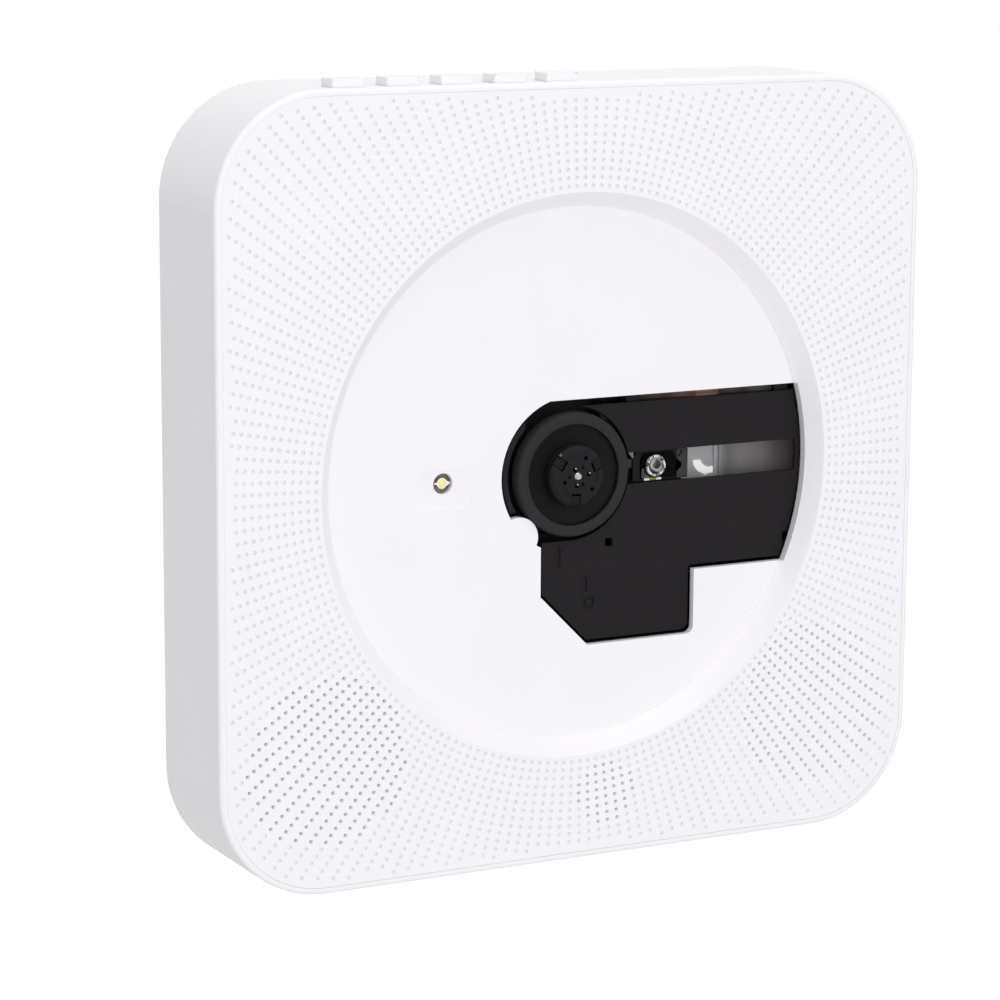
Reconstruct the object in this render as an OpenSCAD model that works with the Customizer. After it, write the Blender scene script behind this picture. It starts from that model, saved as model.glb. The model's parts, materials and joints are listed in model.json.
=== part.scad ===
// Wall mounted disc player: a square white case with a round open disc well,
// a pickup mechanism in the well, a polar pattern of small holes around it,
// five keys on the top edge and two loudspeakers behind the lower corners.
//
// Row frame: origin in the middle of the rear wall face, +X right and +Z up as
// seen from the front, the front face looks along -Y. Every module is drawn
// with the player lying on its back: x right, y up the face, z out of the wall.

/* [Case] */
// Width and height of the square face
case_w = 189; // [180:1:230]
// Overall depth, from the wall to the front face
case_d = 37; // [36:0.5:45]
// Radius of the four corners of the face
corner_r = 27; // [22:1:32]
// Thickness of the housing's side wall
wall = 2.2; // [1.8:0.1:2.8]
// Rounding of the housing's outer edges
edge_r = 1; // [0.5:0.1:1.4]
// How far the rear cover stands out behind the housing's sides
rear_step = 3.5; // [3:0.5:5]
// How far the raised field of the rear cover is set in from the sides
rear_inset = 8; // [7:0.5:12]
// Thickness of the rear cover
rear_t = 2; // [1.5:0.1:2.5]

/* [Front] */
// Visible rim of the housing around the front panel
rim_w = 1.6; // [1.2:0.1:2]
// Gap between the front panel and the rim
panel_gap = 0.15; // [0.1:0.05:0.3]
// Thickness of the perforated front skin
grille_t = 1.6; // [1.2:0.1:2]
// Thickness of the front panel behind the skin
flange_t = 2; // [1.6:0.1:2.4]

/* [Disc well] */
// Radius of the well where it meets the front face
lip_r = 68.5; // [68:0.1:69]
// How much narrower the well's floor is than its mouth, on the radius
well_slope = 2.7; // [2:0.1:4]
// Depth of the floor behind the front face
well_depth = 5; // [4.6:0.1:5.6]
// Thickness of the floor
floor_t = 1.8; // [1.4:0.1:2]
// Radius of the hollow where the well's wall runs into its floor
foot_r = 2.4; // [1.5:0.1:3]

/* [Hole pattern] */
// Number of radial rows of holes around the well
hole_rows = 200; // [160:1:210]
// Spacing of the holes along a row
ring_pitch = 2.01; // [1.9:0.01:2.4]
// Distance of the innermost ring of holes from the mouth of the well
first_ring_gap = 1.5; // [1.4:0.1:2]
// Diameter of a hole
hole_d = 1; // [0.8:0.05:1.1]

/* [Loudspeakers] */
// Direction of each loudspeaker from the spindle, below the level
speaker_angle = 43.1; // [40:0.1:50]
// Room that is left around a loudspeaker between the well and the corner
speaker_margin = 6.6; // [6:0.1:10]
// Overall depth of the loudspeaker
speaker_depth = 19; // [17:0.5:22]
// Distance of the remote receiver from the middle of the case, sideways
receiver_x = 7.6; // [0:0.1:12]

/* [Keys] */
// Number of keys on the top edge
key_count = 5; // [3:1:5]
// Spacing of the keys
key_pitch = 13.8; // [13:0.1:15]
// Width of a key
key_w = 8.3; // [7:0.1:9]
// Front to back size of a key
key_l = 6.6; // [6:0.1:7]
// How far a key stands above the top face
key_rise = 2; // [1.5:0.1:3]
// Distance of the keys behind the front face
key_setback = 2; // [1.9:0.1:2.4]
// Middle of the first key, from the left side of the case
first_key_inset = 34.1; // [33:0.1:40]
// Travel of a key
key_travel = 0.5; // [0.3:0.1:0.6]
// Clearance around a key in its slot
key_gap = 0.2; // [0.15:0.05:0.3]

/* [Turntable] */
// Outer radius of the turntable
platter_r = 15.2; // [15:0.1:15.6]
// Inner radius of the ring that carries the disc
platter_seat_r = 12.3; // [11.5:0.1:13]
// Radius of the hub that centres the disc
hub_r = 7.4; // [7.3:0.02:7.44]
// Depth of the disc seat behind the front face
seat_depth = 4; // [3.6:0.1:4.3]
// Depth of the hub's top behind the front face
hub_depth = 1.9; // [1.7:0.1:2.2]
// Diameter of the spindle
spindle_d = 2; // [1.5:0.1:2.5]
// Clearance of a shaft in its bearing, on the radius
shaft_gap = 0.05; // [0.02:0.01:0.08]

/* [Pickup] */
// Distance of the lens from the spindle when the sled is home
lens_home = 24.2; // [23:0.1:25]
// Travel of the sled
sled_travel = 35.5; // [32:0.5:35.5]
// Width of the slot that the lens looks through
slot_w = 7.8; // [7:0.1:9]
// Diameter of the lens
lens_d = 5.4; // [4:0.1:6]
// Diameter of the guide rods
rod_d = 2.4; // [2:0.1:3]
// Distance of each guide rod from the line of the lens
rod_y = 12; // [11:0.5:12.5]

/* [Feed gears] */
// Tooth module of the feed gears
gear_module = 0.5; // [0.5:0.01:0.52]
// Teeth on the pinion of the sled motor
pinion_teeth = 10; // [9:1:12]
// Teeth on the large wheel of the feed gear
wheel_teeth = 28; // [24:1:28]
// Teeth on the small wheel of the feed gear, which drives the rack
small_teeth = 18; // [16:1:20]
// Clearance between the flanks of meshing teeth
backlash = 0.12; // [0.08:0.01:0.16]

/* [Sockets] */
// Radius of the audio socket's bore
audio_bore_r = 1.8; // [1.75:0.01:1.85]
// Radius of the power socket's bore
power_bore_r = 2.8; // [2.7:0.05:3]

/* [Hidden] */
$fn = 64;

// Colours
WHITE = [0.96, 0.95, 0.97];
DARK = [0.15, 0.145, 0.155];
BLACK = [0.07, 0.065, 0.07];
STEEL = [0.75, 0.75, 0.77];
BRASS = [0.78, 0.62, 0.3];
GREEN = [0.1, 0.35, 0.2];
AMBER = [0.65, 0.27, 0.12];
PAPER = [0.18, 0.18, 0.19];
IVORY = [0.9, 0.88, 0.82];

// Heights above the wall
front_z = case_d;
floor_z = front_z - well_depth;
floor_back_z = floor_z - floor_t;
flange_z = front_z - grille_t;
flange_back_z = flange_z - flange_t;
body_back_z = rear_step;
rear_inner_z = body_back_z + rear_t;

// Half widths and corner centres of the rounded square outlines
half = case_w / 2;
corner_c = half - corner_r;
inner_half = half - wall;
panel_half = half - rim_w;
plate_gap = 0.3;

// Ledge in the housing that carries the front panel
ledge_w = 1.6;
ledge_t = 2;
ledge_z = flange_back_z - ledge_t;

// Well
floor_r = lip_r - well_slope;
first_ring_r = lip_r + first_ring_gap;
well_wall_t = 1.8;
lip_ring_r = lip_r + 0.7;
lip_round = 0.8;

// Opening in the well's floor over the mechanism
open_top = 18.2;
open_left_r = 19.2;
open_left_x = -8.4;
open_step = -26.4;
open_right_x = 34.4;
open_bottom = -42.5;
open_bevel = 13;
open_corner_r = 2;
cover_gap = 0.9;
notch_x = -14.4;
notch_y = -14.6;
notch_r = 5.2;

// Mechanism levels
cover_z = floor_z - 1.2;
cover_t = 1.2;
cover_back_z = cover_z - cover_t;
cover_top = 16.3;
cover_ring_r = platter_r + 1.3;
deck_z = front_z - 13;
deck_t = 2;
deck_back_z = deck_z - deck_t;
deck_left = -21;
deck_top = 21;
deck_low = -28;
deck_foot = -44;
foot_left = -10;
foot_right = 37;
skirt_t = 1.6;
window_half = 15.6;

// Turntable
seat_z = front_z - seat_depth;
hub_z = front_z - hub_depth;
tray_z = seat_z - 1.4;
platter_back_z = seat_z - 3.4;
boss_r = 3;
boss_back_z = deck_z - 1;
spindle_top_z = hub_z + 0.3;
motor_r = 11.5;
motor_gap = 2.9;
hub_bevel = 0.8;
claw_w = 2.4;
claw_len = 3;
claw_reach = 0.4;
claw_angles = [25, 145, 265];

// Pickup
sled_z = front_z - 8.4;
sled_back_z = front_z - 14;
sled_left = lens_home - 9.4;
sled_right = lens_home + 8.6;
window_left = sled_left - 0.8;
window_right = sled_right + sled_travel + 2.5;
deck_right = window_right + 1.6;
sled_half = 13.9;
rod_z = front_z - 11.5;
rod_r = rod_d / 2;
rod_end = 1.6;
actuator_z = front_z - 7.6;
actuator_half = 3.7;
holder_z = front_z - 6.9;
focus_travel = 0.4;
lens_r = lens_d / 2;

// Feed gears
rack_y = -18;
rack_z = front_z - 12.4;
rack_t = 1.4;
small_r = gear_module * small_teeth / 2;
wheel_r = gear_module * wheel_teeth / 2;
pinion_r = gear_module * pinion_teeth / 2;
gear_x = 31.6;
gear_y = rack_y - small_r - 0.05;
gear_angle = -120;
pinion_x = gear_x + (wheel_r + pinion_r + 0.05) * cos(gear_angle);
pinion_y = gear_y + (wheel_r + pinion_r + 0.05) * sin(gear_angle);
wheel_z = front_z - 9.4;
wheel_t = 1.3;
gear_pin_r = 0.75;
sled_motor_r = 8;

// Dampers: where the mechanism floats on the front panel
damper_spots = [[-24, -14], [-20, 20], [30, 27], [46, -34]];
damper_r = 4;
damper_body_r = 3;
post_r = 3;
screw_r = 1;

// Fastener spots
screw_line = half - 8.5;
housing_screw_spots = [[-44, screw_line], [44, screw_line], [-32, -screw_line],
                       [32, -screw_line], [-screw_line, 20], [screw_line, 20]];
housing_post_r = 3.6;
cover_pin_spots = [[10.8, 14.2], [floor_r - 9.8, -21.6], [1.5, -33.5], [30.5, -38.5]];
cover_rest_spots = [[floor_r - 5.8, 17.6], [18, 17.6]];
board_screw_spots = [[-34, 48], [half - 12.5, 48], [-34, -26], [50, -26]];

// Loudspeakers, each as large as its corner lets it be
corner_reach = corner_c * sqrt(2) + corner_r - wall;
speaker_r = (corner_reach - lip_ring_r - speaker_margin) / 2;
speaker_dist = lip_ring_r + speaker_r + 0.5;
speaker_x = speaker_dist * cos(speaker_angle);
speaker_drop = speaker_dist * sin(speaker_angle);
speaker_field_r = speaker_r - 1.6;
speaker_hole_r = speaker_field_r + hole_d / 2 + 0.1;
speaker_z = flange_back_z;
speaker_back_z = speaker_z - speaker_depth;
collar_t = 0.8;
collar_h = 2.4;
surround_r = speaker_r - 3;
cone_r = speaker_r - 7;
magnet_r = speaker_r - 8.5;

// Remote receiver, between the well and the bottom of the case
receiver_span = inner_half - ledge_w - lip_ring_r;
receiver_y = 1.5 - lip_ring_r - receiver_span / 2;
receiver_field_r = receiver_span / 2 - 2.7;
receiver_eye_r = receiver_field_r - 3;

// Disc sensor in the floor of the well
sensor_x = -34.6;
sensor_y = 0.4;
sensor_hole_r = 2.5;
sensor_floor_z = floor_back_z - 0.6;
chip_r = 1.25;
pocket_left = -42;
pocket_right = -27;
pocket_low = -6;
pocket_high = 3.7;
pocket_depth = 0.55;
pocket_r = 2.8;
pocket_tilt = 2.2;

// Keys
first_key_x = half - first_key_inset;
key_top_y = half + key_rise;
key_z = front_z - key_setback - key_l;
key_flange = 0.8;
key_flange_t = 1.2;
key_root_y = half - wall - 0.1;
stem_w = 3;
stem_len = 4.2;
switch_top_y = key_root_y - key_flange_t - stem_len;
switch_h = 3.6;
key_board_t = 1.6;
key_board_y = switch_top_y - switch_h - key_board_t;
key_board_depth = 13;
key_board_end = 8;
key_corner_r = 0.7;
switch_w = 6;

// Boards and sockets
board_z = rear_inner_z + 3;
board_t = 1.6;
board_left = -40;
board_right = half - 5.5;
board_low = -32;
board_top = 54;
socket_face_x = half - 1;
usb_y = 6;
usb_w = 13.2;
usb_h = 5.8;
audio_y = -10;
power_y = -24;
socket_z = board_z + board_t;
motor_len = deck_back_z - socket_z - motor_gap;
housing_post_len = flange_back_z - key_board_depth - rear_inner_z - 1.9;

// ---------------------------------------------------------------- helpers

// Stands the lying player up against the wall.
module stand_up() {
  rotate([90, 0, 0])
    children();
}

// Flat plate from height z upwards.
module plate(z, thick) {
  translate([0, 0, z])
    linear_extrude(thick)
      children();
}

// Upright round peg, standing on height z.
module peg(x, y, z, len, r) {
  translate([x, y, z])
    cylinder(h = len, r = r);
}

// Rectangle between two corners.
module box2(x0, y0, x1, y1) {
  translate([x0, y0])
    square([x1 - x0, y1 - y0]);
}

// Square of half width w, with corners of radius r.
module rounded_square(w, r) {
  union() {
    square([2 * w, 2 * (w - r)], center = true);
    square([2 * (w - r), 2 * w], center = true);
    for (sx = [-1, 1], sy = [-1, 1])
      translate([sx * (w - r), sy * (w - r)])
        circle(r = r, $fn = 96);
  }
}

// Rectangle between two corners, its own corners rounded.
module rounded_box(x0, y0, x1, y1, r) {
  union() {
    box2(x0 + r, y0, x1 - r, y1);
    box2(x0, y0 + r, x1, y1 - r);
    for (x = [x0 + r, x1 - r], y = [y0 + r, y1 - r])
      translate([x, y])
        circle(r = r);
  }
}

// Outline set in from the case's own outline.
module case_outline(inset) {
  rounded_square(half - inset, corner_r - inset);
}

// Sweeps a profile around the case: its x is measured outwards from the
// centres of the corners, its y is the height above the wall.
module case_sweep() {
  for (a = [0 : 90 : 270])
    rotate(a) {
      translate([corner_c, corner_c, 0])
        rotate_extrude(angle = 90, $fn = 96)
          children();
      translate([corner_c, corner_c, 0])
        rotate([90, 0, 0])
          linear_extrude(2 * corner_c)
            children();
    }
}

// Ring of a given profile around the spindle: x is the radius, y the height.
module turned() {
  rotate_extrude($fn = 96)
    children();
}

// Screw seen from its head, standing on height z with the head on top.
module screw(x, y, z, len, head_r = 2, head_t = 1.2) {
  translate([x, y, z]) {
    cylinder(h = len, r = screw_r, $fn = 24);
    translate([0, 0, len])
      difference() {
        cylinder(h = head_t, r = head_r, $fn = 32);
        for (a = [0, 90])
          rotate(a)
            translate([0, 0, head_t])
              cube([2 * head_r * 0.6, 0.5, 1.2], center = true);
      }
  }
}

// ------------------------------------------------------------- tooth forms

// Point of an involute with base radius rb, at the roll angle a in degrees.
function involute(rb, a) =
  let (s = a * PI / 180)
  [rb * (cos(a) + s * sin(a)), rb * (sin(a) - s * cos(a))];

// Roll angle at which the involute of base radius rb reaches radius r.
function roll_at(rb, r) = r <= rb ? 0 : sqrt(pow(r / rb, 2) - 1) * 180 / PI;

// Polar angle of the involute where it reaches radius r.
function involute_polar(rb, r) =
  let (p = involute(rb, roll_at(rb, r)))
  atan2(p[1], p[0]);

function polar(r, a) = [r * cos(a), r * sin(a)];

// Spur gear outline with 20 degree teeth, thinned by the backlash.
module gear_outline(teeth, bore_r) {
  pitch_r = gear_module * teeth / 2;
  base_r = pitch_r * cos(20);
  tip_r = pitch_r + 0.9 * gear_module;
  root_r = pitch_r - 1.2 * gear_module;
  half_tooth = 90 / teeth - backlash / 2 / pitch_r * 180 / PI;
  flank_radii = [max(base_r, root_r), pitch_r, tip_r];
  flank = [for (r = flank_radii)
    [r, half_tooth + involute_polar(base_r, pitch_r) - involute_polar(base_r, r)]];
  step = 360 / teeth;
  difference() {
    polygon([for (i = [0 : teeth - 1])
      each concat(
        [polar(root_r, i * step - flank[0][1])],
        [for (f = flank) polar(f[0], i * step - f[1])],
        [for (k = [2 : -1 : 0]) polar(flank[k][0], i * step + flank[k][1])],
        [polar(root_r, i * step + flank[0][1])])]);
    if (bore_r > 0)
      circle(r = bore_r);
  }
}

// -------------------------------------------------------------------- case

// Slots for the keys through the top wall, and room for their flanges inside.
module key_slots() {
  room = key_w / 2 + key_flange + 0.4;
  for (i = [0 : key_count - 1])
    translate([key_x(i), 0, key_z - key_gap]) {
      translate([-key_w / 2 - key_gap, inner_half - 1, 0])
        cube([key_w + 2 * key_gap, wall + 2, key_l + 2 * key_gap]);
      translate([-room, inner_half - ledge_w - 0.5, 0])
        cube([2 * room, ledge_w + 0.5, key_l + 2 * key_gap]);
    }
}

function key_x(i) = -first_key_x + i * key_pitch;

module housing_profile() {
  difference() {
    translate([corner_r - wall, body_back_z])
      square([wall, front_z - body_back_z]);
    translate([corner_r - edge_r, front_z - edge_r])
      difference() {
        square(edge_r + 1);
        circle(r = edge_r, $fn = 32);
      }
    translate([corner_r - edge_r / 2, body_back_z + edge_r / 2])
      difference() {
        translate([0, -edge_r])
          square([edge_r, edge_r]);
        circle(r = edge_r / 2, $fn = 32);
      }
    translate([corner_r - wall - 1, flange_back_z])
      square([1 + wall - rim_w, front_z]);
  }
  translate([corner_r - wall - ledge_w, ledge_z])
    square([ledge_w + 0.1, ledge_t]);
}

module housing_post(p) {
  across = abs(p[0]) > abs(p[1]);
  reach = inner_half - max(abs(p[0]), abs(p[1])) + 0.2;
  difference() {
    union() {
      peg(p[0], p[1], rear_inner_z, housing_post_len, housing_post_r);
      translate([p[0], p[1], rear_inner_z])
        rotate(across ? (p[0] > 0 ? 0 : 180) : (p[1] > 0 ? 90 : 270))
          translate([0, -1, 0])
            cube([reach, 2, housing_post_len]);
    }
    peg(p[0], p[1], rear_inner_z - 1, 11, screw_r);
  }
}

module main_housing() {
  stand_up()
    color(WHITE)
      union() {
        difference() {
          case_sweep()
            housing_profile();
          key_slots();
          socket_openings();
        }
        for (p = housing_screw_spots)
          housing_post(p);
      }
}

module socket_openings() {
  translate([inner_half - ledge_w - 0.5, usb_y - usb_w / 2 - 0.2, socket_z - 0.2])
    cube([wall + ledge_w + 1, usb_w + 0.4, usb_h + 0.4]);
  translate([inner_half - 0.5, audio_y, socket_z + 3])
    rotate([0, 90, 0])
      cylinder(h = wall + 1, r = 3.2);
  translate([inner_half - 0.5, power_y, socket_z + 5])
    rotate([0, 90, 0])
      cylinder(h = wall + 1, r = 4.2);
}

module keyhole(x, y) {
  translate([x, y]) {
    circle(r = 4.5);
    translate([-2.25, 0])
      square([4.5, 9]);
    translate([0, 9])
      circle(r = 2.25);
  }
}

keyhole_x = 45;
keyhole_y = 40;

module rear_cover() {
  stand_up()
    color(WHITE)
      difference() {
        union() {
          plate(body_back_z, rear_t)
            difference() {
              case_outline(wall + plate_gap);
              for (p = housing_screw_spots)
                translate(p)
                  circle(r = screw_r + 0.2);
            }
          plate(0, body_back_z)
            difference() {
              case_outline(rear_inset);
              for (p = housing_screw_spots)
                translate(p)
                  circle(r = 6);
            }
          for (p = board_screw_spots)
            peg(p[0], p[1], rear_inner_z, board_z - rear_inner_z, 2.6);
          for (s = [-1, 1])
            translate([s * keyhole_x, keyhole_y + 4, rear_inner_z])
              cylinder(h = 2.6, r = 9);
        }
        plate(rear_t, rear_inner_z - rear_t + 0.01)
          difference() {
            case_outline(rear_inset + 2);
            for (p = housing_screw_spots)
              translate(p)
                circle(r = 8);
            for (p = board_screw_spots)
              translate(p)
                circle(r = 2.6);
            for (s = [-1, 1])
              translate([s * keyhole_x, keyhole_y + 4])
                circle(r = 9);
          }
        plate(-1, rear_t + 1)
          for (s = [-1, 1])
            keyhole(s * keyhole_x, keyhole_y);
        plate(rear_t - 0.01, rear_inner_z - rear_t + 1.2)
          for (s = [-1, 1])
            rounded_box(s * keyhole_x - 4.6, keyhole_y - 4.6,
                        s * keyhole_x + 4.6, keyhole_y + 12.4, 4.5);
        for (p = board_screw_spots)
          peg(p[0], p[1], rear_t + 0.5, board_z, screw_r);
      }
}

module rear_screws() {
  stand_up()
    color(STEEL)
      for (p = housing_screw_spots)
        translate([p[0], p[1], 0])
          mirror([0, 0, 1])
            translate([0, 0, -body_back_z - 8])
              screw(0, 0, 0, 8);
}

// ------------------------------------------------------------------- front

// Open holes of the pattern whose centres lie less than r from a point.
module open_holes(x, y, r) {
  for (k = [0 : 26], j = [0 : hole_rows - 1])
    let (p = polar(first_ring_r + k * ring_pitch, j * 360 / hole_rows))
      if (norm(p - [x, y]) < r)
        translate(p)
          circle(r = hole_d / 2, $fn = 16);
}

module front_grille() {
  stand_up()
    color(WHITE)
      plate(flange_z, grille_t)
        difference() {
          case_outline(rim_w + panel_gap);
          circle(r = lip_ring_r + 0.05, $fn = 96);
          for (x = [-speaker_x, speaker_x])
            open_holes(x, -speaker_drop, speaker_field_r);
          open_holes(receiver_x, receiver_y, receiver_field_r);
        }
}

// Half section of the well: lip, hollow wall and floor.
module well_profile() {
  difference() {
    union() {
      translate([0, floor_back_z])
        square([floor_r + well_wall_t, floor_t]);
      translate([floor_r - 1, floor_back_z])
        square([well_wall_t + 1, flange_back_z - floor_back_z + 0.1]);
      polygon([[floor_r - 1, floor_z - 0.1], [lip_ring_r, floor_z - 0.1],
               [lip_ring_r, front_z], [floor_r - 1, front_z]]);
    }
    translate([-1, floor_z])
      square([1 + floor_r - foot_r, well_depth + 1]);
    polygon([[floor_r - foot_r - 1, floor_z], [floor_r - foot_r, floor_z],
             [floor_r - foot_r * 0.12, floor_z + foot_r * 0.5],
             [lip_r - lip_round * 0.6, front_z - lip_round * 0.7],
             [lip_r, front_z + 0.01], [lip_r, front_z + 1], [floor_r - foot_r - 1, front_z + 1]]);
    translate([floor_r - foot_r, floor_z + foot_r])
      circle(r = foot_r, $fn = 48);
    translate([lip_ring_r, flange_back_z - well_depth])
      square([5, well_depth]);
  }
}

// Outline of the opening over the mechanism, grown inwards by g all round.
module opening_outline(g) {
  difference() {
    union() {
      intersection() {
        box2(0, open_step + g, floor_r, open_top - g);
        circle(r = floor_r - g, $fn = 96);
      }
      circle(r = open_left_r - g, $fn = 96);
      polygon([[open_left_x + g, 0], [open_left_x + g, open_bottom + open_bevel + g * 0.4],
               [open_left_x + open_bevel + g * 0.4, open_bottom + g],
               [open_right_x - open_corner_r - g, open_bottom + g],
               [open_right_x - open_corner_r - g, 0]]);
      box2(open_right_x - open_corner_r - g - 1, open_bottom + open_corner_r + g,
           open_right_x - g, 0);
      translate([open_right_x - open_corner_r - g, open_bottom + open_corner_r + g])
        circle(r = open_corner_r);
    }
    translate([notch_x, notch_y])
      circle(r = notch_r + g);
    box2(-30, open_top - g, 0, 30);
  }
}

// Flange behind the perforated skin, with a collar round each loudspeaker.
module front_panel() {
  stand_up()
    color(WHITE)
      union() {
        plate(flange_back_z, flange_t)
          difference() {
            case_outline(rim_w + panel_gap);
            circle(r = lip_ring_r + 0.05, $fn = 96);
            for (s = [-1, 1])
              translate([s * speaker_x, -speaker_drop])
                circle(r = speaker_hole_r);
            translate([receiver_x, receiver_y])
              circle(r = receiver_field_r);
            box2(-first_key_x - 7, half - 9, -first_key_x + (key_count - 1) * key_pitch + 7, half);
          }
        for (x = [-speaker_x, speaker_x])
          plate(flange_back_z - collar_h, collar_h + 0.1)
            translate([x, -speaker_drop])
              difference() {
                circle(r = speaker_r + 0.1 + collar_t);
                circle(r = speaker_r + 0.1);
                translate([-x, speaker_drop])
                  circle(r = lip_ring_r + 0.05, $fn = 96);
              }
      }
}

// Dished moulding that takes the disc, with the posts that carry the mechanism.
module disc_well() {
  stand_up()
    color(WHITE)
      difference() {
        union() {
          difference() {
            turned()
              well_profile();
            plate(floor_back_z - 1, floor_t + 2)
              opening_outline(0);
            finger_scoop();
            peg(sensor_x, sensor_y, floor_back_z - 1, floor_t + 2, sensor_hole_r);
          }
          for (p = damper_spots)
            peg(p[0], p[1], deck_z + 0.4, floor_back_z - deck_z - 0.3, post_r);
        }
        for (p = damper_spots)
          peg(p[0], p[1], deck_z - 1, floor_back_z - deck_z, screw_r);
      }
}

// Shallow hollow beside the sensor: deepest at its upper left, it runs out
// into the floor towards the right and below.
module finger_scoop() {
  translate([pocket_left, pocket_high, floor_z - pocket_depth])
    rotate([pocket_tilt, -pocket_tilt, 0])
      linear_extrude(3)
        rounded_box(0, pocket_low - pocket_high, pocket_right - pocket_left, 0, pocket_r);
}

// --------------------------------------------------------------- mechanism

module deck_outline() {
  union() {
    box2(deck_left, deck_low, deck_right, deck_top);
    box2(foot_left, deck_foot, foot_right, deck_low + 1);
    for (p = damper_spots)
      translate(p)
        circle(r = damper_r + 2);
    translate(damper_spots[2])
      box2(-3, -8, 3, 0);
    translate(damper_spots[3])
      box2(-4, 0, 4, 8);
  }
}

module mech_chassis() {
  stand_up()
    color(BLACK)
      difference() {
        union() {
          plate(deck_back_z, deck_t)
            difference() {
              deck_outline();
              box2(window_left, -window_half, window_right, window_half);
              circle(r = boss_r + 0.5);
              translate([pinion_x, pinion_y])
                circle(r = pinion_r + 1);
            }
          plate(deck_z - 0.1, cover_back_z - deck_z + 0.1)
            skirt_outline();
          plate(deck_z - 0.1, cover_z - 0.2 - deck_z + 0.1)
            ring_wall_outline();
          for (y = [-1, 1], x = [window_left - 2.6, window_right - 0.4])
            translate([x, y * rod_y - 3, deck_z - 0.1])
              cube([3, 6, rod_z + rod_r + 1 - deck_z]);
          for (p = concat(cover_pin_spots, cover_rest_spots))
            peg(p[0], p[1], deck_z - 0.1, cover_back_z - deck_z + 0.1, 2.1);
          peg(gear_x, gear_y, deck_z - 0.1, 0.4, 2);
        }
        for (y = [-1, 1])
          translate([window_left - 1.2, y * rod_y, rod_z])
            rotate([0, 90, 0])
              cylinder(h = window_right - window_left + 2.4, r = rod_r);
        for (p = damper_spots)
          peg(p[0], p[1], deck_back_z - 1, deck_t + 2, damper_body_r + shaft_gap);
        for (p = cover_pin_spots)
          peg(p[0], p[1], cover_back_z - 2.6, 3, screw_r + shaft_gap);
        peg(gear_x, gear_y, deck_back_z - 1, deck_t + 3, gear_pin_r);
      }
}

// Upright wall around the edge of the deck, open where the case needs room.
module skirt_outline() {
  difference() {
    union() {
      box2(deck_left, deck_low, deck_right, deck_top);
      box2(foot_left, deck_foot, foot_right, deck_low + 1);
    }
    box2(deck_left + skirt_t, deck_low + skirt_t, deck_right - skirt_t, deck_top - skirt_t);
    box2(foot_left + skirt_t, deck_foot + skirt_t, foot_right - skirt_t, deck_low + skirt_t + 1);
    for (p = damper_spots)
      translate(p)
        circle(r = damper_r + 1.5);
    translate([gear_x, gear_y])
      circle(r = wheel_r + gear_module + 0.6);
  }
}

// Low wall that guards the open side of the turntable.
module ring_wall_outline() {
  difference() {
    intersection() {
      circle(r = cover_ring_r + 1.6, $fn = 96);
      opening_outline(cover_gap);
    }
    circle(r = cover_ring_r + 0.2, $fn = 96);
    box2(-12, -30, 30, 30);
    box2(-30, -30, 0, -12);
  }
}

module cover_outline() {
  difference() {
    opening_outline(cover_gap);
    circle(r = cover_ring_r, $fn = 96);
    box2(-30, -16.4, 0, 30);
    box2(-30, cover_top, 70, 30);
    box2(-30, -16.4, -6, -14);
  }
}

module cover_slot() {
  intersection() {
    box2(0, -slot_w / 2, floor_r, slot_w / 2);
    circle(r = floor_r - cover_gap - 1, $fn = 96);
  }
}

module mech_cover() {
  stand_up()
    color(DARK)
      difference() {
        union() {
          plate(cover_back_z, cover_t)
            difference() {
              cover_outline();
              cover_slot();
              box2(10, -18.8, 12, -16.8);
              box2(floor_r - 5.2, -22, floor_r - 2.8, -19.4);
            }
          for (p = cover_pin_spots)
            peg(p[0], p[1], cover_back_z - 2.2, 2.3, screw_r);
        }
        plate(cover_z - 0.4, 1) {
          rounded_box(-3.9, -23, -2.4, -17.6, 0.74);
          rounded_box(3.4, -29.6, 5, -25.8, 0.79);
          difference() {
            translate([5.4, -32.3])
              circle(r = 1.6);
            translate([5.4, -32.3])
              circle(r = 0.8);
          }
        }
      }
}

module dampers() {
  stand_up()
    color(DARK)
      for (p = damper_spots)
        translate([p[0], p[1], 0])
          difference() {
            union() {
              translate([0, 0, deck_back_z - 1.2])
                cylinder(h = deck_t + 1.6, r = damper_body_r);
              translate([0, 0, deck_back_z - 1.2])
                cylinder(h = 1.2, r = damper_r);
              translate([0, 0, deck_z])
                cylinder(h = 0.4, r = damper_r);
            }
            translate([0, 0, deck_back_z - 2])
              cylinder(h = deck_t + 4, r = screw_r + shaft_gap);
          }
}

module damper_screws() {
  stand_up()
    color(STEEL)
      for (p = damper_spots)
        translate([p[0], p[1], 0])
          mirror([0, 0, 1])
            screw(0, 0, -deck_z - 3.4, deck_t + 1.2 + 3.4, 3, 1);
}

module turntable() {
  stand_up()
    color(DARK)
      turned()
        difference() {
          union() {
            translate([spindle_d / 2, boss_back_z])
              square([boss_r - spindle_d / 2, platter_back_z - boss_back_z + 0.1]);
            translate([spindle_d / 2, platter_back_z])
              square([platter_r - spindle_d / 2, seat_z - platter_back_z]);
          }
          translate([0, tray_z])
            square([platter_seat_r, 5]);
          translate([platter_r, seat_z])
            rotate(45)
              square([1, 1], center = true);
          translate([boss_r, boss_back_z - 1])
            square([platter_r - boss_r - 1.6, platter_back_z - boss_back_z + 1.6]);
        }
}

module claw_slot(grow) {
  translate([hub_r - claw_len - grow, -claw_w / 2 - grow, seat_z + 0.15 - grow])
    cube([claw_len + 1, claw_w + 2 * grow, 4]);
}

module hub_form(drop) {
  turned()
    polygon([[0, tray_z], [hub_r, tray_z], [hub_r, hub_z - hub_bevel - drop],
             [hub_r - hub_bevel, hub_z - drop], [0, hub_z - drop]]);
}

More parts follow.
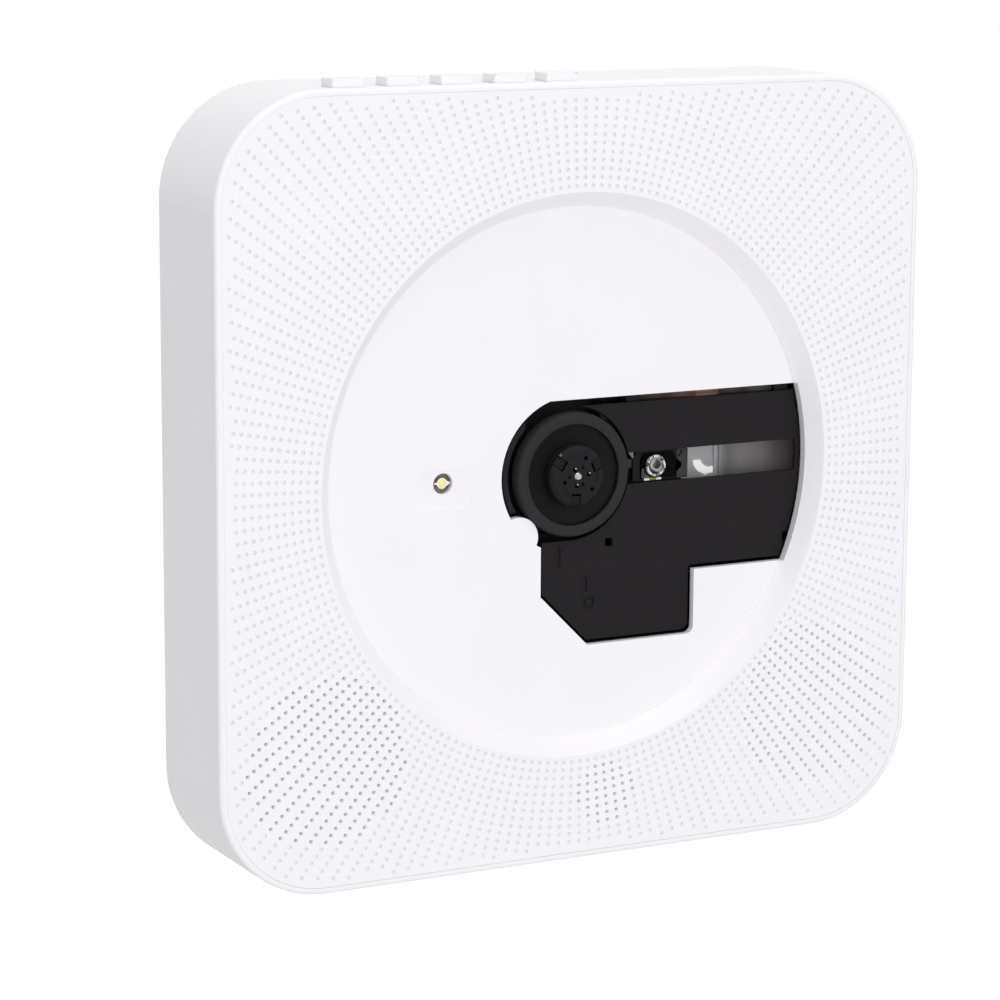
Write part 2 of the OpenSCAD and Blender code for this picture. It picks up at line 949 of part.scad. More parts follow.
module clamp_hub() {
  stand_up()
    color(DARK)
      difference() {
        hub_form(0);
        peg(0, 0, tray_z - 1, 10, spindle_d / 2);
        for (a = claw_angles)
          rotate(a)
            claw_slot(0.1);
        for (a = [30, 150, 270])
          rotate(a + 30)
            peg(2.4, 0, hub_z - 0.6, 1, 0.45);
        plate(hub_z - 0.2, 1)
          for (a = [0, 120, 240])
            rotate(a)
              intersection() {
                difference() {
                  circle(r = 5.4);
                  circle(r = 4.9);
                }
                polygon([[0, 0], [8, -2.6], [8, 2.6]]);
              }
      }
}

module claw(i) {
  stand_up()
    color(BLACK)
      rotate(claw_angles[i])
        intersection() {
          hub_form(0.15);
          translate([hub_r - claw_len + claw_reach, -claw_w / 2, seat_z + 0.15])
            cube([claw_len, claw_w, 4]);
        }
}

module spindle_shaft() {
  stand_up()
    color(STEEL)
      turned()
        polygon([[0, deck_back_z - motor_len - 0.8], [spindle_d / 2, deck_back_z - motor_len - 0.8],
                 [spindle_d / 2, spindle_top_z - 0.4], [spindle_d / 2 - 0.3, spindle_top_z],
                 [0, spindle_top_z]]);
}

// Motor can lying behind the deck, its shaft bore along z.
module motor_can(r, len, bore_r) {
  difference() {
    union() {
      cylinder(h = len, r = r, $fn = 96);
      translate([0, 0, -0.6])
        cylinder(h = 0.7, r = r * 0.45);
    }
    translate([0, 0, -2])
      cylinder(h = len + 4, r = bore_r);
    for (s = [-1, 1])
      translate([s * r * 0.72, 0, -1])
        cylinder(h = 1.6, r = 0.9);
  }
}

module spindle_motor() {
  stand_up()
    color(STEEL)
      translate([0, 0, deck_back_z - motor_len])
        motor_can(motor_r, motor_len, spindle_d / 2 + shaft_gap);
}

module pickup_sled() {
  stand_up()
    color(BLACK)
      difference() {
        union() {
          translate([sled_left, -sled_half + 2.6, sled_back_z])
            cube([sled_right - sled_left, 2 * sled_half - 5.2, actuator_z - 1.6 - sled_back_z]);
          for (y = [-1, 1])
            translate([sled_left, y * rod_y, rod_z])
              rotate([0, 90, 0])
                cylinder(h = sled_right - sled_left, r = rod_r + 0.9);
          translate([sled_left + 3, -sled_half - 1.2, rack_z])
            cube([12, 3, rack_t]);
        }
        for (y = [-1, 1])
          translate([sled_left - 1, y * rod_y, rod_z])
            rotate([0, 90, 0])
              cylinder(h = sled_right - sled_left + 2, r = rod_r + shaft_gap);
        translate([lens_home, 0, sled_back_z - 1])
          cylinder(h = 12, r = 2.2);
        translate([sled_left + 4, -7, sled_back_z - 1])
          cube([10, 2.5, 2.6]);
      }
}

module sled_rack() {
  pitch = PI * gear_module;
  stand_up()
    color(BLACK)
      translate([0, 0, rack_z])
        linear_extrude(rack_t)
          difference() {
            box2(-6, rack_y - 0.9 * gear_module, sled_right + 1, -sled_half - 1.2);
            for (i = [-24 : 1])
              translate([gear_x + i * pitch, rack_y]) {
                w = pitch / 4 + backlash / 2;
                h = gear_module;
                polygon([[-w - 1.2 * h * tan(20), -1.3 * h], [-w + 1.2 * h * tan(20), 1.2 * h],
                         [w - 1.2 * h * tan(20), 1.2 * h], [w + 1.2 * h * tan(20), -1.3 * h]]);
              }
          }
}

module actuator_base() {
  stand_up()
    color(BLACK)
      difference() {
        translate([sled_left + 3.4, -actuator_half, actuator_z - 1.6])
          cube([sled_right - sled_left - 3.4, 2 * actuator_half, 1.6]);
        translate([lens_home - 4, -3.2, actuator_z - 0.9])
          cube([8, 6.4, 2]);
        translate([lens_home, 0, actuator_z - 3])
          cylinder(h = 6, r = 2.2);
      }
}

module lens_holder() {
  stand_up()
    color(BLACK)
      difference() {
        union() {
          translate([lens_home - 3.7, -2.9, holder_z - 1.2])
            cube([7.4, 5.8, 0.7]);
          translate([lens_home, 0, holder_z - 1.2])
            cylinder(h = 1.2, r = lens_r + 0.4);
        }
        translate([lens_home, 0, holder_z - 0.6])
          cylinder(h = 2, r = lens_r);
        translate([lens_home, 0, holder_z - 3])
          cylinder(h = 4, r = 2);
      }
}

module objective_lens() {
  dome_r = 4.4;
  stand_up()
    color([0.75, 0.8, 0.95])
      translate([lens_home, 0, holder_z - 0.6])
        intersection() {
          cylinder(h = 1.6, r = lens_r);
          translate([0, 0, 1.4 - dome_r])
            sphere(r = dome_r, $fn = 96);
        }
}

module guide_rod(y) {
  stand_up()
    color(STEEL)
      translate([window_left - 1.2, y, rod_z])
        rotate([0, 90, 0])
          cylinder(h = window_right - window_left + 2.4, r = rod_r);
}

module sled_motor() {
  stand_up()
    color(STEEL)
      translate([pinion_x, pinion_y, deck_back_z - motor_len])
        motor_can(sled_motor_r, motor_len, spindle_d / 2 - 0.25 + shaft_gap);
}

module motor_pinion() {
  stand_up()
    color(BRASS)
      translate([pinion_x, pinion_y, 0]) {
        translate([0, 0, wheel_z - wheel_t - 0.3])
          linear_extrude(wheel_t + 0.6)
            rotate(gear_angle + 180 + 180 / pinion_teeth)
              gear_outline(pinion_teeth, 0);
        translate([0, 0, deck_back_z - motor_len - 0.4])
          cylinder(h = wheel_z - wheel_t - 0.3 - deck_back_z + motor_len + 0.5,
                   r = spindle_d / 2 - 0.25);
      }
}

module feed_gear() {
  stand_up()
    color(IVORY)
      translate([gear_x, gear_y, 0]) {
        translate([0, 0, wheel_z - wheel_t])
          linear_extrude(wheel_t)
            rotate(gear_angle)
              gear_outline(wheel_teeth, gear_pin_r + shaft_gap);
        translate([0, 0, deck_z + 0.35])
          linear_extrude(wheel_z - wheel_t - deck_z - 0.35)
            rotate(90)
              gear_outline(small_teeth, gear_pin_r + shaft_gap);
      }
}

module gear_pin() {
  stand_up()
    color(STEEL)
      union() {
        peg(gear_x, gear_y, deck_back_z - 0.2, wheel_z + 0.2 - deck_back_z + 0.2, gear_pin_r);
        peg(gear_x, gear_y, wheel_z + 0.15, 0.5, 1.4);
      }
}

module bottom_shield() {
  stand_up()
    color(STEEL)
      plate(deck_back_z - 0.6, 0.6)
        box2(window_left + 12, -window_half - 1.5, deck_right - 0.5, window_half + 1.5);
}

module flex_cable() {
  stand_up()
    color(AMBER)
      plate(cover_back_z - 0.8, 0.3)
        box2(cover_rest_spots[1][0] + 2.4, deck_top - skirt_t - 4.6,
             cover_rest_spots[0][0] - 2.4, deck_top - skirt_t - 0.2);
}

// Black cup under the floor that holds the sensor's light.
module sensor_holder() {
  stand_up()
    color(BLACK)
      translate([sensor_x, sensor_y, 0])
        difference() {
          translate([0, 0, sensor_floor_z - 3])
            cylinder(h = floor_back_z - sensor_floor_z + 3, r = sensor_hole_r + 0.8);
          translate([0, 0, sensor_floor_z])
            cylinder(h = 2, r = sensor_hole_r);
        }
}

module disc_sensor() {
  stand_up()
    color(IVORY)
      translate([sensor_x, sensor_y, sensor_floor_z])
        union() {
          translate([-sensor_hole_r + 0.2, -0.4, 0])
            cube([2 * sensor_hole_r - 0.4, 0.8, 0.5]);
          cylinder(h = 0.9, r = chip_r);
        }
}

// ------------------------------------------------------------ loudspeakers

module at_speaker(side) {
  stand_up()
    translate([side * speaker_x, -speaker_drop, 0])
      children();
}

module speaker_basket(side) {
  at_speaker(side)
    color(BLACK)
      difference() {
        union() {
          translate([0, 0, speaker_z - 1.4])
            cylinder(h = 1.4, r = speaker_r);
          translate([0, 0, speaker_z - 7])
            cylinder(h = 5.7, r1 = magnet_r + 1, r2 = surround_r + 1);
        }
        translate([0, 0, speaker_z - 1.2])
          cylinder(h = 2, r = surround_r + 1);
        translate([0, 0, speaker_z - 6])
          cylinder(h = 5, r1 = magnet_r, r2 = surround_r - 0.2);
        translate([0, 0, speaker_z - 8])
          cylinder(h = 4, r = 8);
        for (a = [0 : 90 : 270])
          rotate(a)
            translate([magnet_r - 1, -4, speaker_z - 6])
              cube([8, 8, 2.6]);
      }
}

module speaker_cone(side) {
  at_speaker(side)
    color(PAPER)
      union() {
        turned()
          polygon([[5.4, speaker_z - 6.6], [6.2, speaker_z - 6.6],
                   [6.2, speaker_z - 3.6], [cone_r - 1.5, speaker_z - 1.8],
                   [cone_r, speaker_z - 1.8], [cone_r, speaker_z - 1.25],
                   [cone_r - 1.6, speaker_z - 1.25], [5.4, speaker_z - 3.2]]);
        translate([0, 0, speaker_z - 3.8])
          intersection() {
            cylinder(h = 3, r = 5.9);
            translate([0, 0, -7.2])
              sphere(r = 9.3, $fn = 96);
          }
      }
}

module speaker_surround(side) {
  mid = (surround_r + cone_r) / 2;
  at_speaker(side)
    color(BLACK)
      turned()
        union() {
          translate([cone_r - 1.3, speaker_z - 1.2])
            square([mid - 1.2 - cone_r + 1.3, 0.4]);
          translate([mid + 1.2, speaker_z - 1.2])
            square([surround_r + 0.9 - mid - 1.2, 0.4]);
          intersection() {
            translate([mid, speaker_z - 1.2])
              difference() {
                circle(r = 1.5, $fn = 32);
                circle(r = 1.1, $fn = 32);
              }
            translate([mid - 2, speaker_z - 1.2])
              square([4, 2]);
          }
        }
}

module speaker_magnet(side) {
  at_speaker(side)
    color(STEEL)
      difference() {
        union() {
          translate([0, 0, speaker_back_z])
            cylinder(h = speaker_z - 7 - speaker_back_z, r = magnet_r);
          translate([0, 0, speaker_z - 7.01])
            cylinder(h = 1.2, r = 4.9);
        }
        translate([0, 0, speaker_z - 9])
          difference() {
            cylinder(h = 4, r = 6.8);
            translate([0, 0, -1])
              cylinder(h = 6, r = 4.9);
          }
      }
}

module receiver_module() {
  stand_up()
    color(DARK)
      union() {
        translate([receiver_x - receiver_span / 2, 1 - lip_ring_r - receiver_span, flange_back_z - 1.6])
          cube([receiver_span, receiver_span - 2, 1.6]);
        peg(receiver_x, receiver_y, flange_back_z - 0.1, 1.6, receiver_eye_r);
      }
}

// -------------------------------------------------------------------- keys

module button(i) {
  stand_up()
    color(WHITE)
      translate([key_x(i), 0, key_z])
        union() {
          translate([0, key_root_y - 0.1, 0])
            key_block(key_w / 2, key_top_y - key_root_y + 0.1, key_l, key_corner_r);
          translate([-key_w / 2 - key_flange, key_root_y - key_flange_t, 0])
            cube([key_w + 2 * key_flange, key_flange_t, key_l]);
          translate([-stem_w / 2, switch_top_y, 0])
            cube([stem_w, stem_len + 0.1, stem_w]);
        }
}

// Block of half width w and length l, standing along y, its four edges rounded.
module key_block(w, height, l, r) {
  translate([0, height, 0])
    rotate([90, 0, 0])
      linear_extrude(height)
        rounded_box(-w, 0, w, l, r);
}

module key_board() {
  x0 = key_x(0) - key_board_end;
  x1 = key_x(key_count - 1) + key_board_end;
  stand_up()
    color(GREEN)
      translate([x0, key_board_y, flange_back_z - key_board_depth])
        cube([x1 - x0, key_board_t, key_board_depth]);
}

module key_switches() {
  stand_up()
    color(BLACK)
      for (i = [0 : key_count - 1])
        translate([key_x(i), key_board_y + key_board_t, key_z + stem_w / 2]) {
          translate([-switch_w / 2, 0, -switch_w / 2])
            cube([switch_w, 2.8, switch_w]);
          rotate([-90, 0, 0])
            cylinder(h = switch_top_y - key_travel - 0.1 - key_board_y - key_board_t, r = 1.4);
        }
}

// ------------------------------------------------------ boards and sockets

module main_board() {
  stand_up()
    color(GREEN)
      union() {
        plate(board_z, board_t)
          difference() {
            box2(board_left, board_low, board_right, board_top);
            for (p = board_screw_spots)
              translate(p)
                circle(r = screw_r + 0.1);
            translate(housing_screw_spots[5])
              circle(r = 5);
          }
        for (c = [[-20, 36, 12, 12, 2], [10, 38, 9, 9, 1.6], [36, 40, 7, 5, 1.5], [60, 26, 10, 6, 3]])
          translate([c[0], c[1], board_z + board_t - 0.05])
            cube([c[2], c[3], c[4]]);
        for (c = [[-26, 26], [-12, 24], [70, 44], [52, 44]])
          peg(c[0], c[1], board_z + board_t - 0.05, 7, 3);
      }
}

module board_screws() {
  stand_up()
    color(STEEL)
      for (p = board_screw_spots)
        screw(p[0], p[1], rear_inner_z - 2, board_z + board_t - rear_inner_z + 2, 1.9, 1);
}

module usb_socket() {
  stand_up()
    color(STEEL)
      translate([socket_face_x - 14, usb_y - usb_w / 2, socket_z])
        union() {
          difference() {
            cube([14, usb_w, usb_h]);
            translate([1, 0.4, 0.4])
              cube([14, usb_w - 0.8, usb_h - 0.8]);
          }
          translate([0.5, 1.2, usb_h - 2.1])
            cube([12, usb_w - 2.4, 1.7]);
        }
}

module audio_socket() {
  stand_up()
    color(BLACK)
      difference() {
        union() {
          translate([socket_face_x - 14, audio_y - 4, socket_z])
            cube([12.4, 8, 6]);
          translate([socket_face_x - 2, audio_y, socket_z + 3])
            rotate([0, 90, 0])
              cylinder(h = 2, r = 3);
        }
        translate([socket_face_x - 13, audio_y, socket_z + 3])
          rotate([0, 90, 0])
            cylinder(h = 14, r = audio_bore_r);
      }
}

module power_socket() {
  stand_up()
    color(BLACK)
      union() {
        difference() {
          union() {
            translate([socket_face_x - 13, power_y - 4.5, socket_z])
              cube([11.4, 9, 10]);
            translate([socket_face_x - 2, power_y, socket_z + 5])
              rotate([0, 90, 0])
                cylinder(h = 2, r = 4);
          }
          translate([socket_face_x - 10, power_y, socket_z + 5])
            rotate([0, 90, 0])
              cylinder(h = 12, r = power_bore_r);
        }
        translate([socket_face_x - 10.5, power_y, socket_z + 5])
          rotate([0, 90, 0])
            cylinder(h = 9, r = 1);
      }
}

// ------------------------------------------------------------------- parts

main_housing();
rear_cover();
rear_screws();
front_grille();
front_panel();
disc_well();
mech_chassis();
mech_cover();
dampers();
damper_screws();
turntable();
clamp_hub();
claw(0);  // claw_1
claw(1);  // claw_2
claw(2);  // claw_3
spindle_shaft();
spindle_motor();
pickup_sled();
sled_rack();
actuator_base();
lens_holder();
objective_lens();
guide_rod(-rod_y);  // main_guide_rod
guide_rod(rod_y);  // side_guide_rod
sled_motor();
motor_pinion();
feed_gear();
gear_pin();
bottom_shield();
flex_cable();
sensor_holder();
disc_sensor();
speaker_basket(-1);  // speaker_basket_left
speaker_cone(-1);  // speaker_cone_left
speaker_surround(-1);  // speaker_surround_left
speaker_magnet(-1);  // speaker_magnet_left
speaker_basket(1);  // speaker_basket_right
speaker_cone(1);  // speaker_cone_right
speaker_surround(1);  // speaker_surround_right
speaker_magnet(1);  // speaker_magnet_right
receiver_module();
button(0);  // button_1
button(1);  // button_2
button(2);  // button_3
button(3);  // button_4
button(4);  // button_5
key_board();
key_switches();
main_board();
board_screws();
usb_socket();
audio_socket();
power_socket();
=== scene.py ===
"""Wall mounted disc player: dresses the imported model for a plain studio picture.

Shapes are laid out in millimetres as seen from the front: x right, y up the face and d the depth
behind the front face. point() puts them into the row frame, in metres.
"""
import json
import math

import bmesh
import bpy
from mathutils import Matrix, Vector
from mathutils.geometry import delaunay_2d_cdt

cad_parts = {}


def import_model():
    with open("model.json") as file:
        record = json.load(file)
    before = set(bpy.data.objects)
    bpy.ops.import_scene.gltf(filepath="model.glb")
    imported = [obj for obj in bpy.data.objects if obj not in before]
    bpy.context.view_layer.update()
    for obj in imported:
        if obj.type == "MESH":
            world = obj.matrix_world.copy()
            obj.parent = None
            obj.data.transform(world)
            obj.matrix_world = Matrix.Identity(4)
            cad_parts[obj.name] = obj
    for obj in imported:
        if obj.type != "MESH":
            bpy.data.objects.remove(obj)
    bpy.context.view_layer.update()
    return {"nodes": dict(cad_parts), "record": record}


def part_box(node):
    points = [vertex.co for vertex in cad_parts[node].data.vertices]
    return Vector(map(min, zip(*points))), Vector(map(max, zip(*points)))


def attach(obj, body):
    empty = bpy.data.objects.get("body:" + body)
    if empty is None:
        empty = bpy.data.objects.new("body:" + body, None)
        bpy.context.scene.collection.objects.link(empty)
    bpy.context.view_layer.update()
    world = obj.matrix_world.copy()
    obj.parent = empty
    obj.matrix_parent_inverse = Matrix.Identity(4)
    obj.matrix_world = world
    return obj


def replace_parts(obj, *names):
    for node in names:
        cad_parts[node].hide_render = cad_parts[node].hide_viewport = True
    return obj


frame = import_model()
MM = 0.001


def box_mm(name):
    """A CAD node's lowest and highest corners at rest, in mm."""
    return [[v / MM for v in corner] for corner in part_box(name)]


def middle_of(name):
    """The middle of a CAD node on the face: x and y."""
    (x0, _, y0), (x1, _, y1) = box_mm(name)
    return (x0 + x1) / 2, (y0 + y1) / 2


# ---------------------------------------------------------------- sizes, mm
# Case and front skin. The skin comes nearer the rim than its solid, by SKIN_REACH.
HALF = box_mm("main_housing")[1][0]
FRONT = box_mm("front_grille")[0][1]
CORNER_R = 27.0
SKIN_INSET = HALF - box_mm("front_grille")[1][0]
SKIN_T = box_mm("front_grille")[1][1] - FRONT
SKIN_REACH = 0.12
SKIN_EDGE_R = 0.12
LIP_RING_R = 69.2

# Floor of the well and the opening in it
WELL_DEPTH = 5.0
FLOOR_T = 1.8
OPENING_R = 19.2
OPENING_TOP = 18.2

# Mechanism: depths of the disc's seat, the annulus and the hub's face, and places on the face
SEAT_D = box_mm("turntable")[0][1] - FRONT
TRAY_D = SEAT_D + 1.4
HUB_D = box_mm("clamp_hub")[0][1] - FRONT
CLAW_GLINT = (-4.9, 5.6)
LENS_X = middle_of("objective_lens")[0]

# Hole pattern: rings of dimples round the well, open in the fields of speakers and receiver
HOLE_ROWS = 200
RING_PITCH = 2.01
RING_COUNT = 27
FIRST_RING_R = 70.0
HOLE_R = 0.48
HOLE_CHAMFER = 0.07
HOLE_BORDER = 3.2
BLIND_DEPTH = 0.35
HOLE_SIDES = 12
SPEAKER_MARGIN = 1.6
RECEIVER_FIELD = (7.6, -78.45, 8.05)

# ------------------------------------------------------------------ camera
# Angles in degrees, distance and shifts in mm from the middle of the case
CAMERA_AZIMUTH = 27.49
CAMERA_ELEVATION = 10.67
CAMERA_ROLL = 0.32
CAMERA_DISTANCE = 852.98
CAMERA_RIGHT = -11.17
CAMERA_UP = -8.41
FOCAL_LENGTH = 125.84
SENSOR_WIDTH = 36.0

# ------------------------------------------------------------------ lights
# Each lamp's place in metres, side in metres and power in watts
FRONT_LIGHT = ((-0.25, -1.6, 0.1), 2.2, 15.1)
TOP_LIGHT = ((0.1, -0.25, 1.5), 1.2, 6.7)
AMBIENT = 0.60
FLOOR_GLOW = 0.5
FLOOR_HALF = 12.0
FLOOR_LEVEL = -0.35


def point(x, y, d):
    """A place on the face, in metres in the row frame."""
    return Vector((x * MM, (FRONT + d) * MM, y * MM))


def srgb(r, g, b):
    """A colour as it shows on a screen, 0 to 255, as linear values."""
    return tuple(
        c / 12.92 if c <= 0.04045 else ((c + 0.055) / 1.055) ** 2.4
        for c in (v / 255 for v in (r, g, b))
    )


# --------------------------------------------------------------- materials
# Every material under its own name. Blender adds a number where the frame has one of that name.
MATERIALS = {}


def shader(name, colour, roughness, **inputs):
    """A material and its Principled shader, with inputs set by name."""
    mat = bpy.data.materials.new(name)
    MATERIALS[name] = mat
    mat.use_nodes = True
    bsdf = mat.node_tree.nodes["Principled BSDF"]
    bsdf.inputs["Base Color"].default_value = (*colour, 1)
    bsdf.inputs["Roughness"].default_value = roughness
    for key, value in inputs.items():
        bsdf.inputs[key.replace("_", " ")].default_value = value
    return mat, bsdf


def node(mat, kind, **settings):
    """A new node. A setting is one of its properties or, with _ for a space, one of its inputs."""
    made = mat.node_tree.nodes.new("ShaderNode" + kind)
    for key, value in settings.items():
        if hasattr(made, key):
            setattr(made, key, value)
        else:
            made.inputs[key.replace("_", " ")].default_value = value
    return made


def link(mat, source, target):
    mat.node_tree.links.new(source, target)


def on_object(mat, target):
    """Feeds a node's vector with the place on the object."""
    link(mat, node(mat, "TexCoord").outputs["Object"], target.inputs["Vector"])


def noise(mat, size_mm, detail=2.0):
    """Noise with lumps of about that size on the object itself."""
    texture = node(mat, "TexNoise", Scale=1 / (size_mm * MM), Detail=detail)
    on_object(mat, texture)
    return texture.outputs["Fac"]


def colour_ramp(mat, bsdf, factor, stops):
    """Base colour that follows a factor: stops list the factor and the colour there."""
    ramp = node(mat, "ValToRGB")
    first, last = ramp.color_ramp.elements
    first.position, first.color = stops[0][0], (*stops[0][1], 1)
    last.position, last.color = stops[-1][0], (*stops[-1][1], 1)
    for place, colour in stops[1:-1]:
        ramp.color_ramp.elements.new(place).color = (*colour, 1)
    link(mat, factor, ramp.inputs["Fac"])
    link(mat, ramp.outputs["Color"], bsdf.inputs["Base Color"])


def vary_colour(mat, bsdf, colour, factor, spread):
    """Colour that wanders by a share, spread, of its own brightness."""
    dim = [c * (1 - spread) for c in colour]
    bright = [min(1, c * (1 + spread)) for c in colour]
    colour_ramp(mat, bsdf, factor, [(0.3, dim), (0.7, bright)])


def vary_roughness(mat, bsdf, roughness, factor, spread):
    """Roughness that wanders by spread to either side."""
    span = node(mat, "MapRange", To_Min=roughness - spread, To_Max=roughness + spread)
    link(mat, factor, span.inputs["Value"])
    link(mat, span.outputs["Result"], bsdf.inputs["Roughness"])


def relief(mat, bsdf, factor, height_mm):
    """Bumps of that height."""
    bump = node(mat, "Bump", Strength=1.0, Distance=height_mm * MM)
    link(mat, factor, bump.inputs["Height"])
    link(mat, bump.outputs["Normal"], bsdf.inputs["Normal"])


def moulded(name, colour, roughness, grain_mm, grain_depth_mm, spread, **inputs):
    """Moulded plastic: a fine spark grain, slow drifts of colour and of gloss."""
    mat, bsdf = shader(name, colour, roughness, **inputs)
    vary_colour(mat, bsdf, colour, noise(mat, 14.0), spread)
    vary_roughness(mat, bsdf, roughness, noise(mat, 5.0), 0.05)
    relief(mat, bsdf, noise(mat, grain_mm, 4.0), grain_depth_mm)


def brushed(name, colour, roughness, stretch):
    """Metal with fine lines: stretch scales the noise along x, y and z, in lines per mm."""
    mat, bsdf = shader(name, colour, roughness, Metallic=1.0)
    mapping = node(mat, "Mapping", Scale=[s / MM for s in stretch])
    texture = node(mat, "TexNoise", Scale=1.0, Detail=3.0)
    on_object(mat, mapping)
    link(mat, mapping.outputs["Vector"], texture.inputs["Vector"])
    vary_roughness(mat, bsdf, roughness, texture.outputs["Fac"], 0.08)
    vary_colour(mat, bsdf, colour, texture.outputs["Fac"], 0.06)
    relief(mat, bsdf, texture.outputs["Fac"], 0.004)


def board(name, colour):
    """Solder resist with copper areas showing through as a paler pattern."""
    mat, bsdf = shader(name, colour, 0.35)
    texture = node(mat, "TexVoronoi", Scale=320.0, distance="CHEBYCHEV")
    on_object(mat, texture)
    vary_colour(mat, bsdf, colour, texture.outputs["Distance"], 0.25)
    relief(mat, bsdf, texture.outputs["Distance"], 0.02)


def painted_sheen(name, stops, roughness, **inputs):
    """A sheet with painted reflections and shade along x: stops list x in mm and the colour there."""
    start, end = stops[0][0], stops[-1][0]
    mat, bsdf = shader(name, srgb(*stops[0][1]), roughness, **inputs)
    axes = node(mat, "SeparateXYZ")
    span = node(mat, "MapRange", From_Min=start * MM, From_Max=end * MM)
    on_object(mat, axes)
    link(mat, axes.outputs["X"], span.inputs["Value"])
    along = [((x - start) / (end - start), srgb(*colour)) for x, colour in stops]
    colour_ramp(mat, bsdf, span.outputs["Result"], along)
    vary_roughness(mat, bsdf, roughness, noise(mat, 6.0), 0.05)
    relief(mat, bsdf, noise(mat, 2.5), 0.01)


def lens_flange_painted_glare(name):
    """Clear moulded flange: pale, with painted reflections, broken and ring-shaped like those of its
    steps.
    """
    mat, bsdf = shader(name, srgb(226, 228, 232), 0.12)
    texture = node(mat, "TexNoise", Scale=900.0, Detail=3.0, Distortion=1.5)
    on_object(mat, texture)
    colour_ramp(mat, bsdf, texture.outputs["Fac"], [(0.45, srgb(70, 71, 76)), (0.6, srgb(240, 241, 244))])
    relief(mat, bsdf, texture.outputs["Fac"], 0.05)


def lens_glass_painted_arcs(name):
    """Dark coated glass with painted reflections: broken arcs of light round its middle."""
    mat, bsdf = shader(name, srgb(40, 41, 47), 0.1)
    mapping = node(mat, "Mapping", Location=(-LENS_X * MM, 0, 0))
    arcs = node(mat, "TexWave", Scale=110.0, Distortion=5.0, Detail=2.0, Detail_Scale=1.5,
                wave_type="RINGS", rings_direction="Y")
    on_object(mat, mapping)
    link(mat, mapping.outputs["Vector"], arcs.inputs["Vector"])
    colour_ramp(mat, bsdf, arcs.outputs["Fac"], [(0.7, srgb(28, 29, 33)), (1.0, srgb(170, 172, 178))])
    vary_roughness(mat, bsdf, 0.12, noise(mat, 1.0), 0.05)


# x in mm and the colour that the sheet shows there: its own colour with painted light. The plate's stops
# paint reflections and shade, pale at the left and darker towards the right; the flex's stops paint a
# highlight from
# 36.4 to 42 mm over its own dark amber
PLATE_PAINTED_SHEEN = [
    (36, (204, 203, 207)), (46, (190, 189, 193)), (48, (140, 139, 142)), (49.5, (124, 122, 125)),
    (53, (143, 140, 143)), (61, (138, 131, 132)), (70, (132, 119, 121)),
]
FLEX_PAINTED_SHEEN = [
    (14, (20, 14, 13)), (24, (34, 17, 13)), (31, (62, 26, 18)), (35.6, (84, 36, 26)),
    (36.4, (118, 74, 64)), (42.0, (112, 74, 66)), (43.0, (44, 26, 22)), (54, (24, 17, 16)),
]
TRACK_PAINTED_SHEEN = [
    (14, (24, 17, 15)), (24, (44, 22, 17)), (31, (82, 38, 26)), (35.6, (106, 54, 40)),
    (36.4, (146, 104, 92)), (42.0, (138, 104, 94)), (43.0, (58, 38, 32)), (54, (28, 20, 18)),
]

WHITE = srgb(249, 247, 251)
SHADED_WHITE = srgb(240, 238, 242)
LABEL_WHITE = srgb(240, 240, 242)
DULL = {"Specular_IOR_Level": 0.12}


def lit(strength):
    """Inputs for a white glow: painted light that stands in for light coming through a thin wall or off a
    bright edge.
    """
    return {"Emission_Color": (1, 1, 1, 1), "Emission_Strength": strength}


moulded("white_shell", WHITE, 0.38, 0.35, 0.006, 0.008)
moulded("white_front", WHITE, 0.42, 0.3, 0.005, 0.006)
moulded("hole_shade", SHADED_WHITE, 0.6, 0.3, 0.005, 0.02)
# Bores of the open holes: the shaded white with a faint glow, painted light as if it came through the
# thin wall
moulded("hole_wall_painted_glow", SHADED_WHITE, 0.6, 0.3, 0.005, 0.02, **lit(0.1))
moulded("label_white", LABEL_WHITE, 0.4, 0.5, 0.002, 0.01)
# A white that glows: painted highlight for the shield's tray rim and lower edge
moulded("rim_painted_glow", LABEL_WHITE, 0.4, 0.5, 0.002, 0.01, **lit(0.4))
moulded("ivory_plastic", srgb(226, 220, 205), 0.35, 0.3, 0.003, 0.03)
moulded("sensor", srgb(246, 242, 150), 0.3, 0.4, 0.002, 0.03)
moulded("sensor_rim", srgb(250, 246, 224), 0.35, 0.4, 0.002, 0.01)
moulded("holder_grey", srgb(150, 142, 135), 0.5, 0.3, 0.005, 0.04, **DULL)
moulded("grey_plastic", srgb(58, 56, 58), 0.5, 0.3, 0.005, 0.06, **DULL)
# Paler than the black round it: painted light that lifts the chassis's shaded hollows
moulded("chassis_painted_light", srgb(34, 32, 35), 0.5, 0.25, 0.006, 0.1, **DULL)
moulded("dark_plastic", srgb(30, 27, 30), 0.5, 0.22, 0.006, 0.06, **DULL)
moulded("black_plastic", srgb(22, 20, 23), 0.5, 0.25, 0.006, 0.1, **DULL)
moulded("platter_ring", srgb(45, 43, 46), 0.55, 0.3, 0.004, 0.05, **DULL)
moulded("platter_dark", srgb(17, 15, 18), 0.6, 0.3, 0.004, 0.08, **DULL)
moulded("black_gloss", srgb(7, 6, 8), 0.3, 0.6, 0.004, 0.1, Specular_IOR_Level=0.04)
